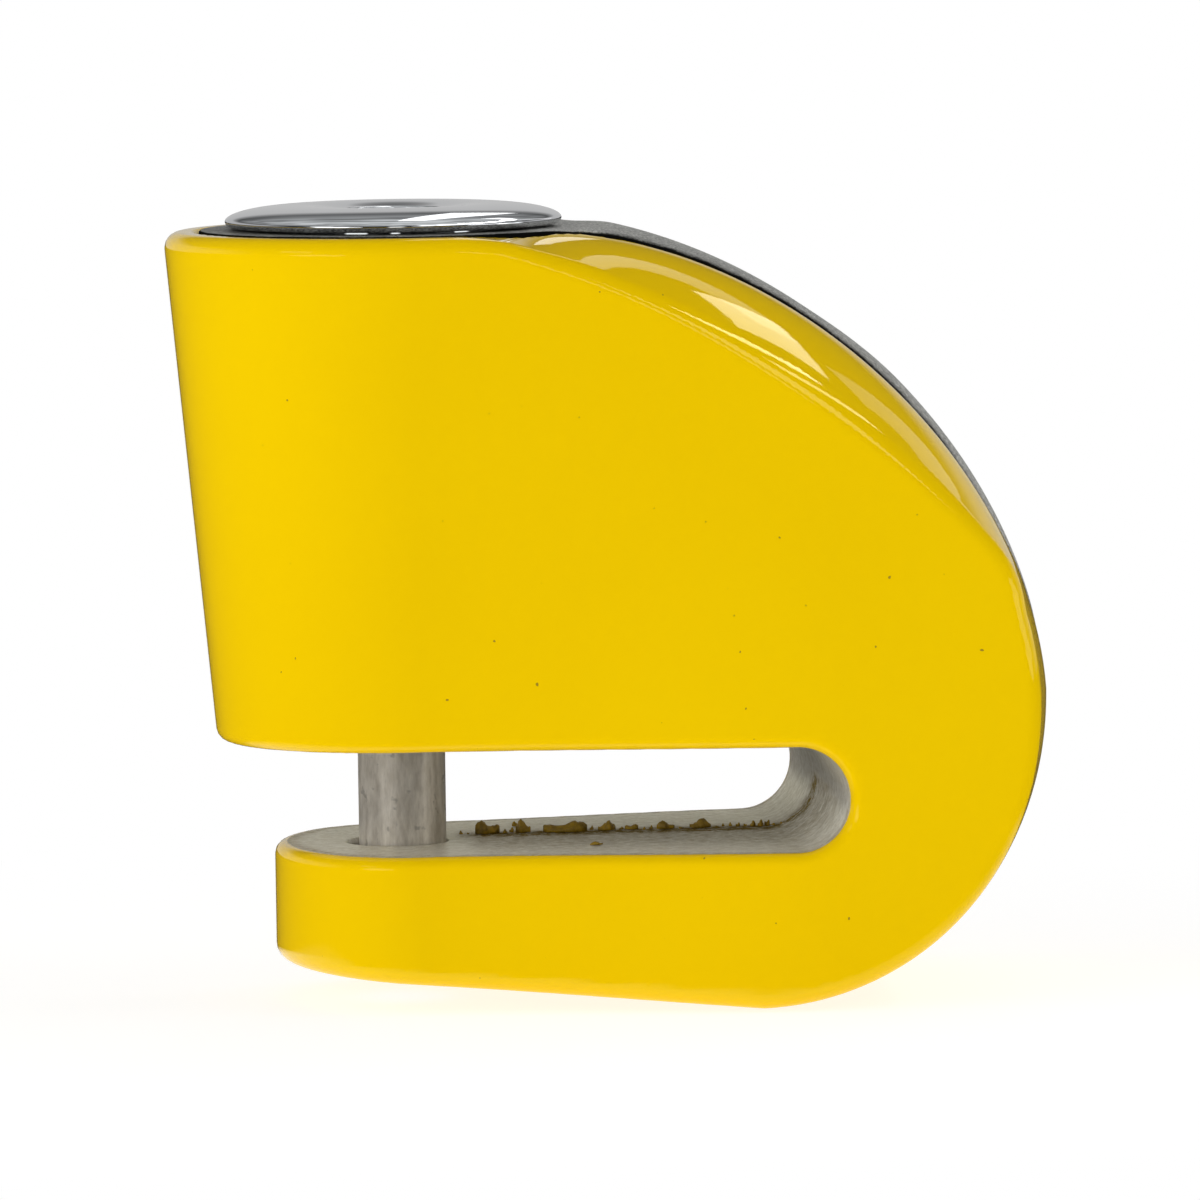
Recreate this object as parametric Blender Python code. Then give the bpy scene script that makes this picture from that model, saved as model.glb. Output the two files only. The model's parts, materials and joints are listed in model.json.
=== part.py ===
"""Motorcycle disc brake lock: a die-cast body with a brake disc slot, closed by a spring-loaded
locking pin under a chromed push button. Built in millimetres about the pin axis (x = y = 0 on the
pin axis, z = 0 on the slot's lower face), then held by an empty that puts the frame's origin on
the slot's lower face, 14 mm behind the pin."""

from math import atan2, cos, hypot, pi, radians, sin, sqrt

import bmesh
import bpy
from mathutils import Matrix, Vector

MM = 0.001
PIN_BEHIND_ORIGIN = -14.0  # x of the pin axis in the finished frame
GAP = 0.3  # clearance between pieces that rest on or are let into each other
FAR = 60.0  # a cutter's reach past the body

# Slot for the brake disc
SLOT_HEIGHT = 7.04
SLOT_END_X = 24.95  # centre of the slot's rounded end

# Body outline
TOP_Z = 41.35
SIDE_Y = 15.4
BODY_FRONT_X = -18.0
STRIP_Y = 8.0  # half width of the trim strip where it leaves the button
CONE_RADIUS = 12.38  # the nose round the pin, at the slot's upper face
CONE_TAPER = 0.0908
PLAN_WIDE_Y = 16.0
PLAN_WIDE_X = 30.0
JAW_TIP_X = 8.6
JAW_RADIUS = 11.74
UNDERSIDE_Z = -8.6
UNDERSIDE_SLOPE = 0.08
TOP_EDGE_RADIUS = 1.2
JAW_EDGE_RADIUS = 1.2
SIDE_EDGE_RADIUS = 0.9
HUMP_X, HUMP_Z, HUMP_POWER = 9.0, 9.0, 1.80  # centre and power of the back's superellipse
HUMP_LENGTH, HUMP_HEIGHT = 33.8, 32.36
HEEL_X, HEEL_Z, HEEL_RADIUS = 22.6, 10.0, 20.16  # lower back corner on the centre plane
SIDE_HEEL_X, SIDE_HEEL_Z, SIDE_HEEL_RADIUS = 21.35, 9.57, 19.8
CREASE_X, CREASE_Z, CREASE_RADIUS = -20.1, -35.3, 80.6  # shoulder line on the side face
CREASE_ENDS_Z = 20.0
SHOULDER_POWER, HEEL_POWER = 1.75, 1.25  # how late the shoulder falls away from strip to side
SHOULDER_EASES_Z = (10.0, 25.0)  # the power changes from the heel's to the shoulder's
RAY_X, RAY_Z = 14.0, 8.0  # the outlines are star-shaped about this point

# Trim strip
TRIM_RADIUS = 13.1
TRIM_TOP_Z = 41.42
TRIM_CROWN, TRIM_BACK_CROWN = 0.8, 1.08  # crown height over the top and down the back
TRIM_RISES_X, TRIM_THICKENS_X = (10.5, 15.0), (27.0, 34.0)  # where it reaches those heights
TRIM_DEPTH = 1.3
TRIM_EDGE_PROUD = 0.25
TRIM_END_Y = 4.4
TRIM_END_ANGLE = 4.6

# Push button, plunger and pin
TRAVEL = 10.8
CAP_RADIUS = 11.31
CAP_BASE_Z = 41.57
CAP_TOP_Z, CAP_ROUNDING = 43.0, 5.0
PLUNGER_RADIUS = 8.8
PLUNGER_BASE_Z, PLUNGER_TOP_Z = 17.5, 41.27
BORE_RADIUS = 9.0
BORE_FLOOR_Z = 13.0
PIN_RADIUS = 2.95
PIN_TIP_Z, PIN_TOP_Z = -3.5, 24.0
PIN_HOLE_RADIUS = 3.3
JAW_HOLE_RADIUS, JAW_HOLE_X, JAW_HOLE_Z = 3.45, -0.36, -4.6
SPRING_ROOM_RADIUS, SPRING_ROOM_Z = 6.4, 20.0
SPIGOT_RADIUS, SPIGOT_Z = 6.6, 38.7
DOWEL_RADIUS, DOWEL_Z, DOWEL_HALF = 0.9, 22.2, 8.4
RING_Z, RING_RADIUS, RING_WIRE = 18.8, 8.42, 0.42
RING_GROOVE_RADIUS, RING_GROOVE_HALF = 7.9, 0.6
SET_SCREW_RADIUS, SET_SCREW_Z = 0.75, 39.9

# Spring, its washer and the pin's bush
SPRING_RADIUS, SPRING_WIRE, SPRING_TURNS = 5.2, 0.4, 5
SPRING_BASE_Z, SPRING_TOP_Z = 14.1, 19.8
WASHER_BASE_Z, WASHER_TOP_Z, WASHER_RADIUS = 13.3, 13.85, 8.0
BUSH_RADIUS, BUSH_HOLE, BUSH_BASE_Z, BUSH_TOP_Z = 4.3, 3.15, 8.3, 12.7
BUSH_CLEARANCE = 0.2

# Key barrel
BARREL_RADIUS, BARREL_BORE = 4.9, 3.9
BARREL_BASE_Z, BARREL_SHOULDER_Z, BARREL_NOSE_Z = 28.7, 41.3, 42.35
BARREL_ROOF_Z = 39.9
BARREL_ROOM_RADIUS, BARREL_ROOM_Z = 5.2, 26.4
NOSE_RADIUS = 3.0
KEYWAY_HALF_X, KEYWAY_HALF_Y = 1.9, 0.6
DISC_COUNT = 6
DISC_RADIUS, DISC_THICK, SPACER_THICK, DISC_GAP = 3.6, 0.9, 0.4, 0.15
DISC_BASE_Z = 29.8
GUARD_Z, GUARD_THICK = 39.0, 0.7
GROOVE_Z, GROOVE_RADIUS = 36.0, 4.35
BARREL_PIN_Y, BARREL_PIN_RADIUS, BARREL_PIN_HALF = 5.2, 0.55, 5.9
SIDE_BAR_Z, SIDE_BAR_TOP_Z = 30.1, 34.8
SIDE_BAR_INNER_X, SIDE_BAR_OUTER_X, SIDE_BAR_HALF_Y = 3.3, 4.75, 0.5
WINDOW_HALF_Y = 0.7  # half width of the openings that the side bar moves in
DRIVE_HALF_X, CAM_BAR_HALF_X = 0.85, 0.55  # the barrel's drive notch and the cam's bar in it

# Cam and latch bolt
CAM_OFFSET = 1.13  # x and y offset of the cam's crank pin at rest
CAM_PIN_RADIUS = 0.75
CAM_BASE_Z, CAM_TOP_Z, CAM_RADIUS = 27.1, 28.4, 4.8
LATCH_BASE_Z, LATCH_TOP_Z = 24.9, 26.5
LATCH_NOSE_X, LATCH_NECK_X, LATCH_TAIL_X = -10.6, -4.2, 3.2
LATCH_SLOT_Y = 2.7  # outer end of the bolt's cross slot
LATCH_CHANNEL_X = 6.0  # far end of the plunger's channel, with room for the bolt's travel
LATCH_NOSE_Y, LATCH_TAIL_Y = 2.2, 3.4
LATCH_GROOVE_X, LATCH_GROOVE_TOP_Z = -11.2, 37.8

# Retaining key that keeps the plunger in and stops it turning
KEY_BASE_Z, KEY_TOP_Z, KEY_HALF_Y = 35.5, 39.1, 1.8
KEY_INNER_X, KEY_OUTER_X = 7.9, 13.6
KEY_SCREW_X, KEY_SCREW_RADIUS, KEY_HEAD_RADIUS = 11.5, 0.9, 1.5
SCREW_TIP_Z = 30.2
KEY_SLOT_X = 7.6  # depth of the plunger's keyway


def clear_scene():
    for obj in list(bpy.data.objects):
        bpy.data.objects.remove(obj, do_unlink=True)


def material(name, colour, roughness, metallic):
    made = bpy.data.materials.new(name)
    made.use_nodes = True
    shader = made.node_tree.nodes["Principled BSDF"]
    shader.inputs["Base Color"].default_value = (*colour, 1.0)
    shader.inputs["Roughness"].default_value = roughness
    shader.inputs["Metallic"].default_value = metallic
    made.diffuse_color = (*colour, 1.0)
    return made


def finish(name, bm, coat=None, origin=(0.0, 0.0, 0.0), smooth_angle=35.0):
    """Makes the object of a bmesh drawn in millimetres, with its origin at the given point."""
    bmesh.ops.translate(bm, vec=-Vector(origin), verts=bm.verts)
    bmesh.ops.scale(bm, vec=(MM, MM, MM), verts=bm.verts)
    bmesh.ops.recalc_face_normals(bm, faces=bm.faces)
    mesh = bpy.data.meshes.new(name)
    bm.to_mesh(mesh)
    bm.free()
    mesh.shade_smooth()
    mesh.set_sharp_from_angle(angle=radians(smooth_angle))
    obj = bpy.data.objects.new(name, mesh)
    bpy.context.scene.collection.objects.link(obj)
    obj.location = Vector(origin) * MM
    obj.parent = bpy.data.objects["lock_frame"]
    if coat:
        mesh.materials.append(coat)
    else:
        obj.hide_render = True
        obj.display_type = "WIRE"
    return obj


def combine(target, other, operation="DIFFERENCE"):
    modifier = target.modifiers.new(other.name, "BOOLEAN")
    modifier.operation = operation
    modifier.solver = "EXACT"
    modifier.object = other
    if not other.hide_render:
        other.hide_render = True
        other.display_type = "WIRE"


def block(low, high):
    bm = bmesh.new()
    bmesh.ops.create_cube(bm, size=1.0)
    size = Vector(high) - Vector(low)
    bmesh.ops.scale(bm, vec=size, verts=bm.verts)
    bmesh.ops.translate(bm, vec=(Vector(high) + Vector(low)) / 2, verts=bm.verts)
    return bm


def rod(radius, start, end, segments=24):
    """A plain cylinder between two points."""
    bm = bmesh.new()
    along = Vector(end) - Vector(start)
    turn = Vector((0, 0, 1)).rotation_difference(along).to_matrix().to_4x4()
    place = Matrix.Translation((Vector(start) + Vector(end)) / 2) @ turn
    bmesh.ops.create_cone(bm, cap_ends=True, segments=segments, radius1=radius, radius2=radius,
                          depth=along.length, matrix=place)
    return bm


def lathe(profile, segments=48, closed=True):
    """Spins a profile of (radius, z) points about the z axis."""
    bm = bmesh.new()
    points = [bm.verts.new((r, 0.0, z)) for r, z in profile]
    pairs = list(zip(points, points[1:]))
    if closed:
        pairs.append((points[-1], points[0]))
    edges = [bm.edges.new(pair) for pair in pairs]
    bmesh.ops.spin(bm, geom=points + edges, cent=(0, 0, 0), axis=(0, 0, 1), angle=2 * pi,
                   steps=segments)
    bmesh.ops.remove_doubles(bm, verts=bm.verts, dist=1e-3)
    return bm


def prism(outline, depth):
    """Extrudes a flat outline of 3-D points along a vector."""
    bm = bmesh.new()
    face = bm.faces.new([bm.verts.new(point) for point in outline])
    pulled = bmesh.ops.extrude_face_region(bm, geom=[face])["geom"]
    moved = [v for v in pulled if isinstance(v, bmesh.types.BMVert)]
    bmesh.ops.translate(bm, vec=depth, verts=moved)
    return bm


def loft(rings):
    """Joins closed rings of equal count in order, and closes both ends."""
    bm = bmesh.new()
    rows = [[bm.verts.new(point) for point in ring] for ring in rings]
    count = len(rows[0])
    for low, high in zip(rows, rows[1:]):
        for i in range(count):
            j = (i + 1) % count
            bm.faces.new((low[i], low[j], high[j], high[i]))
    bm.faces.new(rows[0])
    bm.faces.new(rows[-1])
    return bm


def smooth_step(value, low, high):
    share = min(max((value - low) / (high - low), 0.0), 1.0)
    return share * share * (3 - 2 * share)


def edge_inset(radius, past):
    """How far a rounded edge has turned in, at a distance past the start of its rounding."""
    return radius - sqrt(max(radius**2 - past**2, 0.0))


def underside(x):
    return UNDERSIDE_Z - UNDERSIDE_SLOPE * x


def inside_middle(x, z):
    """Whether a point lies in the body's outline over the width of the trim strip."""
    if x < BODY_FRONT_X or z > TOP_Z or z < underside(x):
        return False
    if z < HEEL_Z:
        return x < HEEL_X or hypot(x - HEEL_X, z - HEEL_Z) < HEEL_RADIUS
    if x < HUMP_X:
        return True
    along = (x - HUMP_X) / HUMP_LENGTH
    up = max(z - HUMP_Z, 0.0) / HUMP_HEIGHT
    return along**HUMP_POWER + up**HUMP_POWER < 1


def inside_side(x, z):
    """Whether a point lies in the outline of the flat side face."""
    if x < BODY_FRONT_X or z > TOP_Z or z < underside(x):
        return False
    if z > CREASE_ENDS_Z:
        return hypot(x - CREASE_X, z - CREASE_Z) < CREASE_RADIUS
    return x < SIDE_HEEL_X or hypot(x - SIDE_HEEL_X, z - SIDE_HEEL_Z) < SIDE_HEEL_RADIUS


def reach(inside, angle):
    """Distance from the ray point to the edge of an outline."""
    near, far = 0.0, 2 * FAR
    for _ in range(40):
        middle = (near + far) / 2
        if inside(RAY_X + middle * cos(angle), RAY_Z + middle * sin(angle)):
            near = middle
        else:
            far = middle
    return near


def side_loft():
    """The side outline carried across the width: flat sides and a convex shoulder."""
    count = 80
    angles = [2 * pi * i / count for i in range(count)]
    middle = [reach(inside_middle, a) for a in angles]
    side = [reach(inside_side, a) for a in angles]
    half_layers = []
    for y in (SIDE_Y, SIDE_Y - 0.26, SIDE_Y - SIDE_EDGE_RADIUS, 13.4, 11.2, STRIP_Y, 0.0):
        share = max((y - STRIP_Y) / (SIDE_Y - STRIP_Y), 0.0)
        edge = max(y - (SIDE_Y - SIDE_EDGE_RADIUS), 0.0)
        round_off = edge_inset(SIDE_EDGE_RADIUS, edge)
        ring = []
        for a, far, near in zip(angles, middle, side):
            level = smooth_step(RAY_Z + far * sin(a), *SHOULDER_EASES_Z)
            power = HEEL_POWER + (SHOULDER_POWER - HEEL_POWER) * level
            radius = far + (near - far) * share**power - round_off
            ring.append((RAY_X + radius * cos(a), RAY_Z + radius * sin(a)))
        half_layers.append((y, ring))
    layers = [(-y, ring) for y, ring in half_layers] + [
        (y, ring) for y, ring in reversed(half_layers[:-1])
    ]
    return loft([[(x, y, z) for x, z in ring] for y, ring in layers])


def plan_ring(front, width, shrink, height):
    """One level of the plan shape: a rounded front, then sides that widen to the back."""
    steps = 28
    points = []
    for i in range(steps + 1):
        a = pi * (0.5 + i / steps)
        points.append(((front - shrink) * cos(a), (width - shrink) * sin(a)))
    sides = []
    for x in (4.0, 8.0, 12.0, 16.0, 20.0, 25.0, FAR):
        wide = width + (PLAN_WIDE_Y - width) * smooth_step(x, 0, PLAN_WIDE_X)
        sides.append((x, wide - shrink))
    ring = [(x, y) for x, y in reversed(sides)] + points + [(x, -y) for x, y in sides]
    return [(x, y, height(x)) for x, y in ring]


def plan_loft():
    """The plan outline at each height, with the rounded jaw edge and the rounded top edge."""
    rings = []
    for lift in (-0.5, 0.0, 0.3, 0.8, 1.6, 4.0):
        room = max(JAW_EDGE_RADIUS - lift, 0.0)
        shrink = room if lift <= 0 else edge_inset(JAW_EDGE_RADIUS, room)
        rings.append(plan_ring(JAW_TIP_X, JAW_RADIUS, shrink, lambda x, up=lift: underside(x) + up))
    rings.append(plan_ring(JAW_TIP_X, JAW_RADIUS, 0.0, lambda x: 2.0))
    for z in (5.0, 16.0, 28.0, TOP_Z - TOP_EDGE_RADIUS, TOP_Z - 0.6, TOP_Z - 0.25, TOP_Z, TOP_Z + 0.5):
        over = max(z - (TOP_Z - TOP_EDGE_RADIUS), 0.0)
        shrink = over if z >= TOP_Z else edge_inset(TOP_EDGE_RADIUS, over)
        radius = CONE_RADIUS + CONE_TAPER * (z - SLOT_HEIGHT)
        rings.append(plan_ring(radius, radius, shrink, lambda x, level=z: level))
    return loft(rings)


def slot_cutter():
    half = SLOT_HEIGHT / 2
    outline = [(-FAR, -FAR, 0.0), (SLOT_END_X, -FAR, 0.0)]
    steps = 16
    for i in range(1, steps):
        a = pi * (i / steps - 0.5)
        outline.append((SLOT_END_X + half * cos(a), -FAR, half + half * sin(a)))
    outline += [(SLOT_END_X, -FAR, SLOT_HEIGHT), (-FAR, -FAR, SLOT_HEIGHT)]
    return finish("cut_disc_slot", prism(outline, (0.0, 2 * FAR, 0.0)))


def trim_stations():
    """Along the strip: the body line, the crown's height, the outward normal and the half width."""
    stations = []
    for degrees in (4, 16, 30, 45, 60, 75, 90):
        stations.append((-TRIM_RADIUS * cos(radians(degrees)), None))
    stations += [(x, None) for x in (3.0, 6.0, HUMP_X)]
    for degrees in (86, 83, 80, 76, 70, 64, 58, 52, 46, 40, 34, 28, 22, 16, 11, TRIM_END_ANGLE):
        stations.append((None, radians(degrees)))
    made = []
    for x, angle in stations:
        if angle is None:
            body, normal = (x, TOP_Z), (0.0, 1.0)
        else:
            u, v = cos(angle) ** (2 / HUMP_POWER), sin(angle) ** (2 / HUMP_POWER)
            body = (HUMP_X + HUMP_LENGTH * u, min(HUMP_Z + HUMP_HEIGHT * v, TOP_Z))
            slope = Vector((u ** (HUMP_POWER - 1) / HUMP_LENGTH, v ** (HUMP_POWER - 1) / HUMP_HEIGHT))
            normal = tuple(slope.normalized())
        crown = TRIM_TOP_Z - TOP_Z
        crown += (TRIM_CROWN - crown) * smooth_step(body[0], *TRIM_RISES_X)
        crown += (TRIM_BACK_CROWN - TRIM_CROWN) * smooth_step(body[0], *TRIM_THICKENS_X)
        done = max(body[0] - TRIM_RADIUS, 0.0) / (HUMP_X + HUMP_LENGTH - TRIM_RADIUS)
        strip = STRIP_Y + (TRIM_END_Y - STRIP_Y) * done
        round_front = sqrt(max(TRIM_RADIUS**2 - body[0] ** 2, 0.0))
        width = round_front if body[0] <= 0 else max(round_front, strip)
        made.append((body, crown, normal, width))
    for back, share in ((1, 0.45), (2, 0.8)):
        body, crown, normal, width = made[-back]
        made[-back] = (body, crown, normal, width * share)
    return made


def strip_solid(extra_width, top_lift, depth):
    """The trim strip, or with a lift and extra width the recess that it lies in."""
    across = [i / 4 for i in range(-4, 5)]
    rings = []
    for body, crown, normal, width in trim_stations():
        top, bottom = [], []
        for share in across:
            y = share * (width + extra_width)
            centre = 1 - share * share
            if body[0] < 0:
                centre = max(1 - hypot(body[0], y) / (TRIM_RADIUS + extra_width), 0.0)
            edge = min(TRIM_EDGE_PROUD, crown)
            lift = edge + (crown - edge) * centre + top_lift
            top.append((body[0] + normal[0] * lift, y, body[1] + normal[1] * lift))
            bottom.append((body[0] - normal[0] * depth, y, body[1] - normal[1] * depth))
        rings.append(top + bottom[::-1])
    if extra_width:
        first, last = rings[0], rings[-1]
        rings.insert(0, [(x - extra_width, y, z) for x, y, z in first])
        rings.append([(x, y, z - extra_width) for x, y, z in last])
    return loft(rings)


def make_body(coat):
    body = finish("lock_body", side_loft(), coat)
    combine(body, finish("cut_plan_shape", plan_loft()), "INTERSECT")
    combine(body, slot_cutter())
    combine(body, finish("cut_trim_recess", strip_solid(GAP, 5.0, TRIM_DEPTH + GAP)))
    combine(body, finish("cut_plunger_bore", rod(BORE_RADIUS, (0, 0, BORE_FLOOR_Z), (0, 0, FAR), 64)))
    in_slot, in_bore = SLOT_HEIGHT / 2, BORE_FLOOR_Z + 2
    bush_room, bush_seat = BUSH_RADIUS + BUSH_CLEARANCE, BUSH_BASE_Z - GAP
    bores = lathe([(0, in_slot), (PIN_HOLE_RADIUS, in_slot), (PIN_HOLE_RADIUS, bush_seat),
                   (bush_room, bush_seat), (bush_room, in_bore), (0, in_bore)], 40)
    combine(body, finish("cut_pin_bore", bores))
    jaw_hole = rod(JAW_HOLE_RADIUS, (JAW_HOLE_X, 0, JAW_HOLE_Z), (JAW_HOLE_X, 0, in_slot), 40)
    combine(body, finish("cut_jaw_hole", jaw_hole))
    groove = block((LATCH_GROOVE_X, -LATCH_NOSE_Y - 0.5, LATCH_BASE_Z - 0.4),
                   (-BORE_RADIUS / 2, LATCH_NOSE_Y + 0.5, LATCH_GROOVE_TOP_Z))
    combine(body, finish("cut_latch_groove", groove))
    pocket = block((BORE_RADIUS / 2, -KEY_HALF_Y - GAP, KEY_BASE_Z - GAP),
                   (KEY_OUTER_X + GAP, KEY_HALF_Y + GAP, TOP_Z + 1))
    combine(body, finish("cut_key_pocket", pocket))
    hole = rod(KEY_SCREW_RADIUS + 0.2, (KEY_SCREW_X, 0, SCREW_TIP_Z - 0.7), (KEY_SCREW_X, 0, KEY_BASE_Z), 20)
    combine(body, finish("cut_key_screw_hole", hole))


def make_trim(coat):
    trim = finish("top_trim", strip_solid(0.0, 0.0, TRIM_DEPTH), coat)
    combine(trim, finish("cut_trim_hole", rod(BORE_RADIUS + GAP, (0, 0, KEY_BASE_Z), (0, 0, FAR), 56)))


def make_cap(chrome, steel):
    rim, low = CAP_RADIUS, CAP_BASE_Z + 0.4
    turns = [pi / 2 * i / 8 for i in range(9)]
    profile = [
        (NOSE_RADIUS + 0.3, CAP_BASE_Z), (BARREL_RADIUS + 0.4, CAP_BASE_Z),
        (BARREL_RADIUS + 0.4, SPIGOT_Z), (SPIGOT_RADIUS, SPIGOT_Z), (SPIGOT_RADIUS, CAP_BASE_Z),
        (rim - 0.45, CAP_BASE_Z), (rim - 0.13, CAP_BASE_Z + 0.13),
        *[(rim - CAP_ROUNDING * (1 - cos(t)), low + (CAP_TOP_Z - low) * sin(t)) for t in turns],
        (NOSE_RADIUS + 1.4, CAP_TOP_Z - 0.12), (NOSE_RADIUS + 0.3, CAP_TOP_Z - 0.35),
    ]
    finish("button_cap", lathe(profile, 72), chrome)
    ends = (0, SPIGOT_RADIUS + 0.15, SET_SCREW_Z), (0, PLUNGER_RADIUS - 0.2, SET_SCREW_Z)
    finish("cap_set_screw", rod(SET_SCREW_RADIUS, *ends, 16), steel)


def make_plunger(coat):
    profile = [
        (PIN_RADIUS + 0.2, SPRING_ROOM_Z), (SPRING_ROOM_RADIUS, SPRING_ROOM_Z),
        (SPRING_ROOM_RADIUS, PLUNGER_BASE_Z), (PLUNGER_RADIUS - 0.5, PLUNGER_BASE_Z),
        (PLUNGER_RADIUS, PLUNGER_BASE_Z + 0.5), (PLUNGER_RADIUS, RING_Z - RING_GROOVE_HALF),
        (RING_GROOVE_RADIUS, RING_Z - RING_GROOVE_HALF), (RING_GROOVE_RADIUS, RING_Z + RING_GROOVE_HALF),
        (PLUNGER_RADIUS, RING_Z + RING_GROOVE_HALF), (PLUNGER_RADIUS, PLUNGER_TOP_Z),
        (SPIGOT_RADIUS + 0.3, PLUNGER_TOP_Z), (SPIGOT_RADIUS + 0.3, SPIGOT_Z - GAP),
        (BARREL_ROOM_RADIUS, SPIGOT_Z - GAP), (BARREL_ROOM_RADIUS, BARREL_ROOM_Z),
        (PIN_RADIUS + 0.2, BARREL_ROOM_Z),
    ]
    plunger = finish("plunger", lathe(profile, 56), coat)
    channel = block((-FAR, -LATCH_TAIL_Y - GAP, LATCH_BASE_Z - GAP),
                    (LATCH_CHANNEL_X, LATCH_TAIL_Y + GAP, LATCH_TOP_Z + GAP))
    combine(plunger, finish("cut_latch_channel", channel))
    keyway = block((KEY_SLOT_X, -KEY_HALF_Y - GAP, KEY_BASE_Z - TRAVEL - GAP),
                   (FAR, KEY_HALF_Y + GAP, KEY_TOP_Z + GAP))
    combine(plunger, finish("cut_plunger_keyway", keyway))
    reach_y = PLUNGER_RADIUS + 1
    dowel_hole = rod(DOWEL_RADIUS + 0.15, (0, -reach_y, DOWEL_Z), (0, reach_y, DOWEL_Z), 20)
    combine(plunger, finish("cut_dowel_hole", dowel_hole))
    ends = (-BARREL_PIN_HALF - 0.4, BARREL_PIN_Y, GROOVE_Z), (PLUNGER_RADIUS, BARREL_PIN_Y, GROOVE_Z)
    pin_hole = rod(BARREL_PIN_RADIUS + 0.15, *ends, 16)
    combine(plunger, finish("cut_barrel_pin_hole", pin_hole))
    ends = (0, BARREL_ROOM_RADIUS, SET_SCREW_Z), (0, reach_y, SET_SCREW_Z)
    screw_hole = rod(SET_SCREW_RADIUS + 0.2, *ends, 16)
    combine(plunger, finish("cut_set_screw_hole", screw_hole))
    bar_groove = block((SIDE_BAR_OUTER_X, -WINDOW_HALF_Y, SIDE_BAR_Z - 0.5),
                       (BARREL_ROOM_RADIUS + 0.5, WINDOW_HALF_Y, SIDE_BAR_TOP_Z - 0.4))
    combine(plunger, finish("cut_side_bar_groove", bar_groove))


def make_pin(steel, rubber):
    tip, top = PIN_TIP_Z, PIN_TOP_Z
    profile = [(0, tip), (PIN_RADIUS - 0.7, tip), (PIN_RADIUS - 0.2, tip + 0.25),
               (PIN_RADIUS, tip + 0.8), (PIN_RADIUS, top - 0.4), (PIN_RADIUS - 0.4, top), (0, top)]
    pin = finish("locking_pin", lathe(profile, 40, closed=False), steel)
    hole = rod(DOWEL_RADIUS + 0.15, (0, -6, DOWEL_Z), (0, 6, DOWEL_Z), 20)
    combine(pin, finish("cut_pin_dowel_hole", hole))
    finish("pin_dowel", rod(DOWEL_RADIUS, (0, -DOWEL_HALF, DOWEL_Z), (0, DOWEL_HALF, DOWEL_Z), 20), steel)
    ring = [(RING_RADIUS + RING_WIRE * cos(2 * pi * i / 10), RING_Z + RING_WIRE * sin(2 * pi * i / 10))
            for i in range(10)]
    finish("plunger_o_ring", lathe(ring, 40), rubber)


def ring_plate(name, outer, inner, low, high, coat, segments=40):
    return finish(name, lathe([(inner, low), (outer, low), (outer, high), (inner, high)], segments), coat)


def make_spring(steel):
    """A round-wire coil, swept with a circle of points along the helix."""
    around, per_turn = 8, 16
    total = SPRING_TURNS * per_turn
    low, high = SPRING_BASE_Z + SPRING_WIRE, SPRING_TOP_Z - SPRING_WIRE
    rings = []
    for i in range(total + 1):
        a = 2 * pi * i / per_turn
        z = low + (high - low) * i / total
        ring = []
        for k in range(around):
            b = 2 * pi * k / around
            out = SPRING_RADIUS + SPRING_WIRE * cos(b)
            ring.append((out * cos(a), out * sin(a), z + SPRING_WIRE * sin(b)))
        rings.append(ring)
    finish("return_spring", loft(rings), steel)


def keyway_cutter(name, low, high, clearance):
    x, y = KEYWAY_HALF_X + clearance, KEYWAY_HALF_Y + clearance
    return finish(name, block((-x, -y, low), (x, y, high)))


def make_barrel(brass, steel):
    profile = [
        (BARREL_BORE, BARREL_BASE_Z), (BARREL_RADIUS, BARREL_BASE_Z),
        (BARREL_RADIUS, GROOVE_Z - 0.8), (GROOVE_RADIUS, GROOVE_Z - 0.8),
        (GROOVE_RADIUS, GROOVE_Z + 0.8), (BARREL_RADIUS, GROOVE_Z + 0.8),
        (BARREL_RADIUS, BARREL_SHOULDER_Z), (NOSE_RADIUS, BARREL_SHOULDER_Z),
        (NOSE_RADIUS, BARREL_NOSE_Z - 0.25), (NOSE_RADIUS - 0.25, BARREL_NOSE_Z),
        (0, BARREL_NOSE_Z), (0, BARREL_ROOF_Z), (BARREL_BORE, BARREL_ROOF_Z),
    ]
    barrel = finish("key_barrel", lathe(profile, 40), brass)
    combine(barrel, keyway_cutter("cut_nose_keyway", BARREL_ROOF_Z - 1, BARREL_NOSE_Z + 1, 0.0))
    drive = block((-DRIVE_HALF_X, -BARREL_ROOM_RADIUS, BARREL_BASE_Z - 1),
                  (DRIVE_HALF_X, BARREL_ROOM_RADIUS, BARREL_BASE_Z + 1.1))
    combine(barrel, finish("cut_drive_notch", drive))
    window = block((DISC_RADIUS - 0.6, -WINDOW_HALF_Y, SIDE_BAR_Z - 0.2),
                   (BARREL_ROOM_RADIUS, WINDOW_HALF_Y, SIDE_BAR_TOP_Z + 0.2))
    combine(barrel, finish("cut_side_bar_window", window))
    ends = (-BARREL_PIN_HALF, BARREL_PIN_Y, GROOVE_Z), (BARREL_PIN_HALF, BARREL_PIN_Y, GROOVE_Z)
    finish("barrel_pin", rod(BARREL_PIN_RADIUS, *ends, 16), steel)
    bar = block((SIDE_BAR_INNER_X, -SIDE_BAR_HALF_Y, SIDE_BAR_Z),
                (SIDE_BAR_OUTER_X, SIDE_BAR_HALF_Y, SIDE_BAR_TOP_Z))
    finish("side_bar", bar, brass)


def make_disc(name, low, thick, coat, notched):
    disc = finish(name, rod(DISC_RADIUS, (0, 0, low), (0, 0, low + thick), 28), coat)
    combine(disc, keyway_cutter("cut_keyway_" + name, low - 1, low + thick + 1, 0.15))
    if notched:
        notch = block((DISC_RADIUS - 0.65, -WINDOW_HALF_Y, low - 1),
                      (BARREL_RADIUS, WINDOW_HALF_Y, low + thick + 1))
        combine(disc, finish("cut_notch_" + name, notch))


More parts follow.
